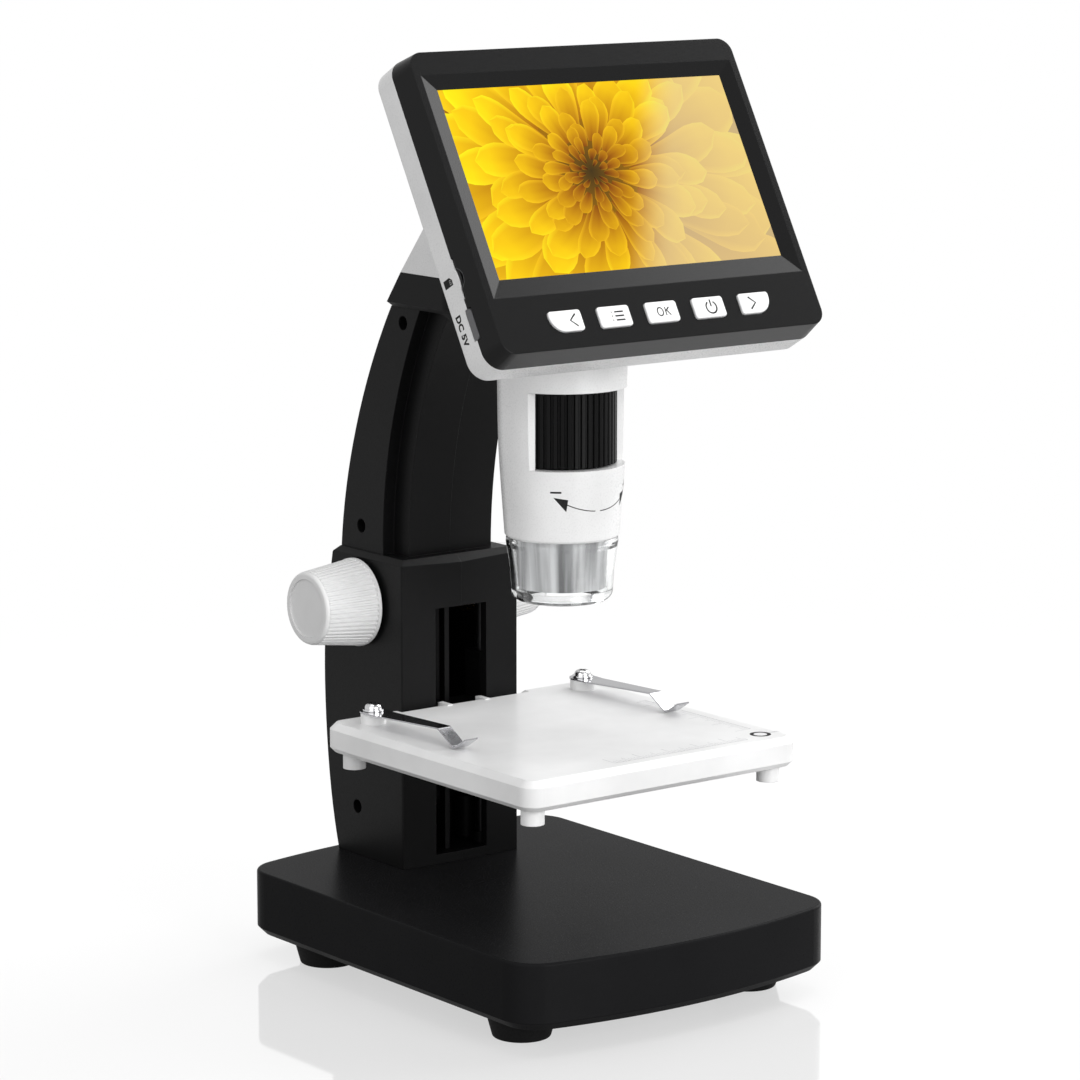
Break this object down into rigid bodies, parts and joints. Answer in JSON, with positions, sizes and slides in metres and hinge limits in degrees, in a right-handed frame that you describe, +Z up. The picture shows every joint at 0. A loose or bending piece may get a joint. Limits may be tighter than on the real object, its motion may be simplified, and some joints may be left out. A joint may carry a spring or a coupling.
{
  "type": "lcd digital microscope",
  "caption": "Benchtop digital microscope with a tilted LCD head, a barrel with a focus wheel, and a slide stage driven up and down a curved column.",
  "frame": {"origin": "middle of the bounding box on the plane the feet rest on", "axes": "+Z up, -Y towards the side the screen and keys face, +X to the right as seen from the front"},
  "size_m": [0.1106, 0.1444, 0.2588],
  "materials": {
    "black_plastic": "satin",
    "white_plastic": "satin gloss",
    "white_knob": "satin",
    "black_rubber": "matte",
    "grey_rubber": "matte",
    "cast_weight": "rough",
    "steel": "brushed",
    "chrome": "polished",
    "brass": "turned",
    "clear_plastic": "clear polished",
    "frosted_plastic": "frosted",
    "optical_glass": "clear polished",
    "screen": "glossy, lit",
    "circuit_board": "solder mask",
    "chip_black": "moulded",
    "silver_foil": "satin",
    "led_white": "clear"
  },
  "bodies": {
    "stand": {"base_housing": "black_plastic", "base_bottom_cover": "black_plastic", "base_weight": "cast_weight", "base_feet": "black_rubber", "base_screws": "steel", "column_foot_screws": "steel", "column_right_shell": "black_plastic", "column_left_shell": "black_plastic", "column_screws": "steel", "collar": "black_plastic", "guide_rods": "steel", "shaft_bushes": "brass", "rear_case": "white_plastic", "front_bezel": "black_plastic", "cover_glass": "optical_glass", "lcd_panel": "screen", "main_board": "circuit_board", "board_chips": "chip_black", "battery": "silver_foil", "card_socket": "steel", "port_socket": "steel", "key_board": "circuit_board", "key_switches": "chip_black", "case_screws": "steel", "barrel_sleeve": "white_plastic", "barrel_core": "black_plastic", "sensor_board": "circuit_board", "led_board": "circuit_board", "leds": "led_white", "light_cup": "clear_plastic", "light_shade": "frosted_plastic"},
    "stage": {"stage_carriage": "black_plastic", "stage_rack": "black_plastic", "stage_plate": "white_plastic", "stage_screws": "steel", "clip_screws": "chrome"},
    "drive": {"drive_shaft": "steel", "drive_pinion": "brass", "knob_right": "white_knob", "knob_left": "white_knob"},
    "left_clip": {"clip_left": "chrome"},
    "right_clip": {"clip_right": "chrome"},
    "focus_ring": {"focus_wheel": "black_rubber"},
    "optics": {"lens_cell": "silver_foil", "lens": "optical_glass"},
    "back_key": {"key_back": "white_plastic"},
    "menu_key": {"key_menu": "white_plastic"},
    "ok_key": {"key_ok": "white_plastic"},
    "power_key": {"key_power": "white_plastic"},
    "forward_key": {"key_forward": "white_plastic"},
    "port_plug": {"port_cover": "grey_rubber"}
  },
  "joints": [
    {"name": "stage_slide", "type": "slide", "parent": "stand", "child": "stage", "axis": [0, 0, 1], "range_m": [-0.028, 0.024]},
    {"name": "drive_turn", "type": "hinge", "parent": "stand", "child": "drive", "pos_m": [0, 0.0544, 0.0997], "axis": [1, 0, 0], "range_deg": [-287, 335]},
    {"name": "left_clip_swivel", "type": "hinge", "parent": "stage", "child": "left_clip", "pos_m": [-0.0367, 0.0249, 0.0751], "axis": [0, 0, 1], "range_deg": [-40, 20]},
    {"name": "right_clip_swivel", "type": "hinge", "parent": "stage", "child": "right_clip", "pos_m": [0.0367, 0.0249, 0.0751], "axis": [0, 0, 1], "range_deg": [-20, 40]},
    {"name": "focus_turn", "type": "hinge", "parent": "stand", "child": "focus_ring", "pos_m": [0, -0.0127, 0.1565], "axis": [0, 0, 1], "range_deg": [-149, 149]},
    {"name": "lens_slide", "type": "slide", "parent": "stand", "child": "optics", "axis": [0, 0, 1], "range_m": [-0.0039, 0.0039]},
    {"name": "back_key_press", "type": "slide", "parent": "stand", "child": "back_key", "axis": [0, 0.8704, -0.4923], "range_m": [0, 0.0006], "stiffness_N_per_m": 900, "springref_m": -0.0006},
    {"name": "menu_key_press", "type": "slide", "parent": "stand", "child": "menu_key", "axis": [0, 0.8704, -0.4923], "range_m": [0, 0.0006], "stiffness_N_per_m": 900, "springref_m": -0.0006},
    {"name": "ok_key_press", "type": "slide", "parent": "stand", "child": "ok_key", "axis": [0, 0.8704, -0.4923], "range_m": [0, 0.0006], "stiffness_N_per_m": 900, "springref_m": -0.0006},
    {"name": "power_key_press", "type": "slide", "parent": "stand", "child": "power_key", "axis": [0, 0.8704, -0.4923], "range_m": [0, 0.0006], "stiffness_N_per_m": 900, "springref_m": -0.0006},
    {"name": "forward_key_press", "type": "slide", "parent": "stand", "child": "forward_key", "axis": [0, 0.8704, -0.4923], "range_m": [0, 0.0006], "stiffness_N_per_m": 900, "springref_m": -0.0006},
    {"name": "port_plug_pull", "type": "slide", "parent": "stand", "child": "port_plug", "axis": [-1, 0, 0], "range_m": [0, 0.008]}
  ],
  "couplings": [
    {"joint": "drive_turn", "follows": "stage_slide", "rad_per_m": -208.33},
    {"joint": "focus_turn", "follows": "lens_slide", "rad_per_m": 666.67}
  ]
}
